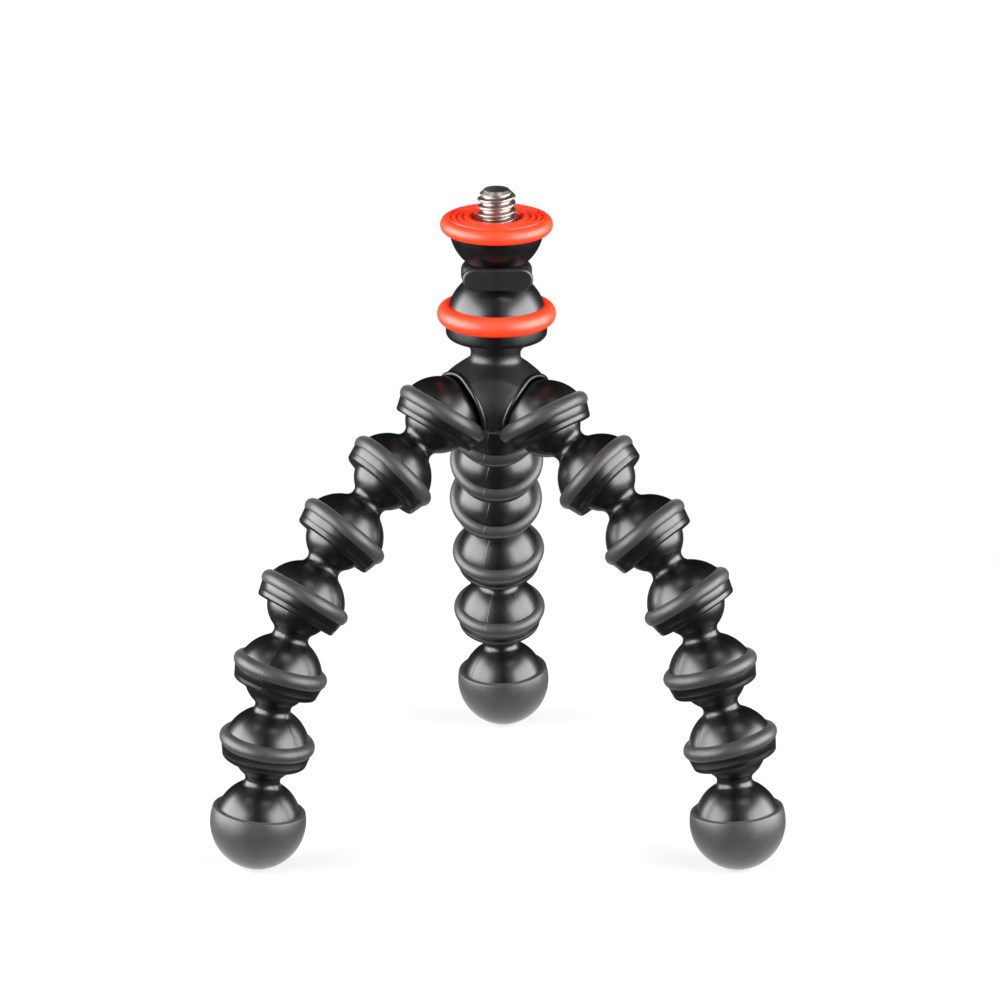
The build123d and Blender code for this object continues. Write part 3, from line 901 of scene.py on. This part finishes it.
def hub_profile(turn):
    """Outline of the hub in one direction: ball, neck, sloping shoulder, rounding and skirt."""
    joint = (0, -HEAD_JOINT_DROP)
    fillet = HUB_NECK_RADIUS + HUB_NECK_FILLET
    drop = math.sqrt((HEAD_BALL_RADIUS + HUB_NECK_FILLET) ** 2 - fillet**2)
    upper = (fillet, joint[1] - drop)
    lower = (fillet, upper[1] - HUB_NECK_LENGTH)
    points = arc(joint, HEAD_BALL_RADIUS, math.pi / 2, -math.atan2(drop, fillet))
    points += arc(upper, HUB_NECK_FILLET, math.pi - math.atan2(drop, fillet), math.pi)
    points += arc(lower, HUB_NECK_FILLET, math.pi, 1.5 * math.pi - HUB_SLOPE)
    start = Vector(points[-1])
    slope = Vector((math.cos(HUB_SLOPE), -math.sin(HUB_SLOPE)))
    corner = start + slope * ((HUB_SHOULDER_RADIUS - start.x) / slope.x)
    away = math.radians(LOBE_HALF - lobe_gap(turn))
    keel = max(0.0, 1 - away / math.radians(KEEL_REACH))
    skirt = HUB_SKIRT_RADIUS - HUB_PINCH * (1 - math.cos(away))
    bottom = Vector((skirt, -HUB_BOTTOM_DROP - HUB_POINT * keel))
    fall = (bottom - corner).normalized()
    bend = slope.angle(fall)
    radius = hub_round(turn)
    reach = radius * math.tan(bend / 2)
    first, last = corner - slope * reach, corner + fall * reach
    centre = first + Vector((slope.y, -slope.x)) * radius
    points += blend_line(start, first)
    points += arc(centre, radius, angle(centre, first), angle(centre, last), HUB_ROUND_STEPS)
    points += blend_line(last, bottom)
    return points + [(bottom.x, bottom.y), (0, bottom.y)]


def blend_line(start, end):
    """Points between two ends of a straight run of the hub, the ends left out."""
    return [tuple(start.lerp(end, k / HUB_RUN_STEPS)) for k in range(1, HUB_RUN_STEPS)]


def hub_shell():
    """Closed surface of the hub before the pockets are cut."""
    turns = [2 * math.pi * k / HUB_TURNS for k in range(HUB_TURNS)]
    profiles = [hub_profile(turn) for turn in turns]
    rows = len(profiles[0])
    vertices = [(0, 0, profiles[0][0][1])]
    for i in range(1, rows - 1):
        vertices += [around(profile[i][0], turn, profile[i][1]) for profile, turn in zip(profiles, turns)]
    vertices.append((0, 0, profiles[0][-1][1]))
    faces = []
    last = len(vertices) - 1
    for k in range(HUB_TURNS):
        n = (k + 1) % HUB_TURNS
        faces.append((0, 1 + k, 1 + n))
        for i in range(rows - 3):
            a, b = 1 + i * HUB_TURNS, 1 + (i + 1) * HUB_TURNS
            faces.append((a + k, b + k, b + n, a + n))
        a = 1 + (rows - 3) * HUB_TURNS
        faces.append((a + k, last, a + n))
    return new_mesh("hub_shell", vertices, faces)


def pocket_cutter(azimuth):
    """Round pocket that one leg's socket sits in."""
    points = arc((0, 0), POCKET_RADIUS, math.pi / 2, 0)
    points += [(POCKET_RADIUS, -POCKET_DEPTH), (0, -POCKET_DEPTH)]
    cutter = new_object("pocket", lathe("pocket", points))
    turn = math.radians(azimuth + POCKET_TURN)
    outwards = Vector(around(1, turn, 0))
    up = Vector((0, 0, math.cos(SOCKET_LEAN))) - outwards * math.sin(SOCKET_LEAN)
    centre = outwards * SOCKET_RADIUS - Vector((0, 0, SOCKET_DROP))
    cutter.matrix_world = upright(centre, up)
    return cutter


def hub_place():
    """Placing of the hub, which leans a little in the head's ball joint."""
    forward, side = HUB_LEAN
    lean = Matrix.Rotation(forward, 4, "X") @ Matrix.Rotation(side, 4, "Y")
    joint = Matrix.Translation((0, 0, -HEAD_JOINT_DROP))
    return joint @ lean @ joint.inverted()


def build_hub():
    """Hub with its three pockets cut out, and the bead that runs round their edge."""
    body = new_object("hub_block", hub_shell())
    body.data.materials.append(HUB)
    cutters = [pocket_cutter(lobe) for lobe in HUB_LOBES]
    for cutter in cutters:
        cutter.data.materials.append(LINK)
        cut = body.modifiers.new("pocket", "BOOLEAN")
        cut.operation, cut.solver, cut.object = "DIFFERENCE", "EXACT", cutter
        cut.material_mode = "TRANSFER"
    mesh = settled(body)
    for piece in [body] + cutters:
        bpy.data.objects.remove(piece)
    paths = pocket_edges(mesh)
    for polygon in mesh.polygons:
        polygon.material_index = 0
    mesh.materials.clear()
    mesh.name = "hub_shell"
    smooth(mesh, HUB_SMOOTH_LIMIT)
    add("hub_shell", mesh, hub_place(), "hub", "gloss_shell", HUB, "hub")
    add("hub_bead", bead_mesh(paths), hub_place(), "hub", "gloss_shell", GLOSS, "hub")


def pocket_edges(mesh):
    """Chains of points where the outer surface, but for the sole, meets a pocket."""
    kinds = {}
    for polygon in mesh.polygons:
        if polygon.material_index == 0 and polygon.normal.z < FACING_DOWN:
            continue
        for key in polygon.edge_keys:
            kinds.setdefault(key, set()).add(polygon.material_index)
    near = {}
    for (a, b), found in kinds.items():
        if len(found) > 1:
            near.setdefault(a, []).append(b)
            near.setdefault(b, []).append(a)
    paths, seen = [], set()
    for start in sorted(near, key=lambda v: len(near[v])):
        if start in seen:
            continue
        path = [start]
        seen.add(start)
        while True:
            ahead = [v for v in near[path[-1]] if v not in seen]
            if not ahead:
                break
            path.append(ahead[0])
            seen.add(ahead[0])
        if len(path) > POCKET_MIN_POINTS:
            paths.append([mesh.vertices[v].co.copy() for v in path])
    return paths


def even_path(points):
    """Points at an even step along a chain, smoothed with its ends kept."""
    lengths = [0.0]
    for a, b in zip(points, points[1:]):
        lengths.append(lengths[-1] + (b - a).length)
    count = max(BEAD_MIN_STEPS, round(lengths[-1] / BEAD_STEP))
    even, i = [], 0
    for k in range(count + 1):
        at = lengths[-1] * k / count
        while i < len(points) - 2 and lengths[i + 1] < at:
            i += 1
        span = max(lengths[i + 1] - lengths[i], SMALLEST_SPAN)
        even.append(points[i].lerp(points[i + 1], min(1.0, (at - lengths[i]) / span)))
    for _ in range(BEAD_PASSES):
        inner = [(a + b * 2 + c) / 4 for a, b, c in zip(even, even[1:], even[2:])]
        even = [even[0]] + inner + [even[-1]]
    return even


def bead_mesh(paths):
    """Round bead along each path, as one mesh."""
    curve = bpy.data.curves.new("bead", "CURVE")
    curve.dimensions = "3D"
    curve.bevel_depth = BEAD_RADIUS
    curve.bevel_resolution = BEAD_RESOLUTION
    curve.use_fill_caps = True
    for path in paths:
        spline = curve.splines.new("POLY")
        even = even_path(path)
        spline.points.add(len(even) - 1)
        for point, place in zip(spline.points, even):
            point.co = (*place, 1)
    holder = new_object("bead", curve)
    mesh = settled(holder)
    bpy.data.objects.remove(holder)
    mesh.name = "hub_bead"
    return smooth(mesh, BEAD_SMOOTH_LIMIT)


# Studio


def floor_material(feet):
    """Pale floor to the camera with its shadow kept, and to the tripod dark but for a glow at its feet."""
    n = Nodes("studio_floor")
    gaps = []
    for foot in feet:
        gap = n.new("ShaderNodeVectorMath", operation="DISTANCE")
        n.link(n.place, gap.inputs[0])
        gap.inputs[1].default_value = foot
        gaps.append(gap.outputs["Value"])
    nearest = n.math("MINIMUM", n.math("MINIMUM", gaps[0], gaps[1]), gaps[2])
    n.link(n.ramp(nearest, GLOW_SPAN, GLOW_LEVEL, 0.0), n.shader.inputs["Emission Strength"])
    n.shader.inputs["Emission Color"].default_value = WHITE
    n.shader.inputs["Base Color"].default_value = FLOOR_BOUNCE
    n.shader.inputs["Specular IOR Level"].default_value = 0.0
    glow = n.new("ShaderNodeEmission", Strength=FLOOR_SEEN)
    veil = n.new("ShaderNodeBsdfDiffuse", Color=FLOOR_VEIL)
    seen = n.new("ShaderNodeAddShader")
    mix = n.new("ShaderNodeMixShader")
    n.link(glow.outputs[0], seen.inputs[0])
    n.link(veil.outputs[0], seen.inputs[1])
    n.link(n.new("ShaderNodeLightPath").outputs["Is Camera Ray"], mix.inputs[0])
    n.link(n.shader.outputs[0], mix.inputs[1])
    n.link(seen.outputs[0], mix.inputs[2])
    n.link(mix.outputs[0], n.tree.nodes["Material Output"].inputs[0])
    return n.material


def build_floor():
    """Square floor that the feet stand on."""
    low, _ = cad_box
    middles = [middle(f"foot_boot_{leg}") for leg in LEGS]
    feet = [(foot.x, foot.y, low.z) for foot in middles]
    sides = ((-1, -1), (1, -1), (1, 1), (-1, 1))
    corners = [(x * FLOOR_HALF, y * FLOOR_HALF, low.z) for x, y in sides]
    mesh = new_mesh("floor", corners, [(0, 1, 2, 3)])
    mesh.materials.append(floor_material(feet))
    new_object("floor", mesh)


def build_world():
    """White for the camera, dim for everything that the object reflects."""
    world = bpy.data.worlds.new("studio")
    bpy.context.scene.world = world
    world.use_nodes = True
    tree = world.node_tree
    tree.nodes.clear()
    out = tree.nodes.new("ShaderNodeOutputWorld")
    mix = tree.nodes.new("ShaderNodeMixShader")
    path = tree.nodes.new("ShaderNodeLightPath")
    room = tree.nodes.new("ShaderNodeBackground")
    sky = tree.nodes.new("ShaderNodeBackground")
    for background, level in ((room, ROOM_LEVEL), (sky, SKY_LEVEL)):
        background.inputs["Color"].default_value = WHITE
        background.inputs["Strength"].default_value = level
    tree.links.new(path.outputs["Is Camera Ray"], mix.inputs[0])
    tree.links.new(room.outputs[0], mix.inputs[1])
    tree.links.new(sky.outputs[0], mix.inputs[2])
    tree.links.new(mix.outputs[0], out.inputs[0])


def softbox(name, azimuth, elevation, width, height, power):
    """Area light that faces the tripod from a direction; azimuth 0 is the camera's side."""
    a, e = math.radians(azimuth), math.radians(elevation)
    back = Vector((math.sin(a) * math.cos(e), -math.cos(a) * math.cos(e), math.sin(e)))
    light = bpy.data.lights.new(name, "AREA")
    light.shape = "RECTANGLE"
    light.size, light.size_y = width, height
    light.energy = power
    lamp = new_object(name, light)
    lamp.location = LIGHT_AIM + back * LIGHT_DISTANCE
    lamp.rotation_euler = back.to_track_quat("Z", "Y").to_euler()


def build_lights():
    """Two keys at the sides, two small lights above and two narrow ones near the camera."""
    for name, values in LIGHTS.items():
        softbox(name, *values)


def build_camera():
    """Camera that looks down a little at the tripod, as the photograph's did."""
    turn = Matrix.Rotation(CAMERA_TURN, 3, "Z")
    e = CAMERA_ELEVATION
    back = Vector((0, -math.cos(e), math.sin(e)))
    up = Vector((0, math.sin(e), math.cos(e)))
    data = bpy.data.cameras.new("camera")
    data.sensor_width = CAMERA_SENSOR
    data.lens = CAMERA_LENS
    data.clip_start, data.clip_end = CAMERA_CLIP
    camera = new_object("camera", data)
    axes = Matrix((turn @ Vector((1, 0, 0)), turn @ up, turn @ back)).transposed().to_4x4()
    camera.matrix_world = Matrix.Translation(turn @ (CAMERA_AIM + back * CAMERA_DISTANCE)) @ axes
    bpy.context.scene.camera = camera


def main():
    """Builds the tripod and its studio."""
    places = joint_places()
    build_head()
    build_legs(places)
    build_hub()
    build_floor()
    build_world()
    build_lights()
    build_camera()
    bpy.context.scene.view_settings.view_transform = "Standard"


main()
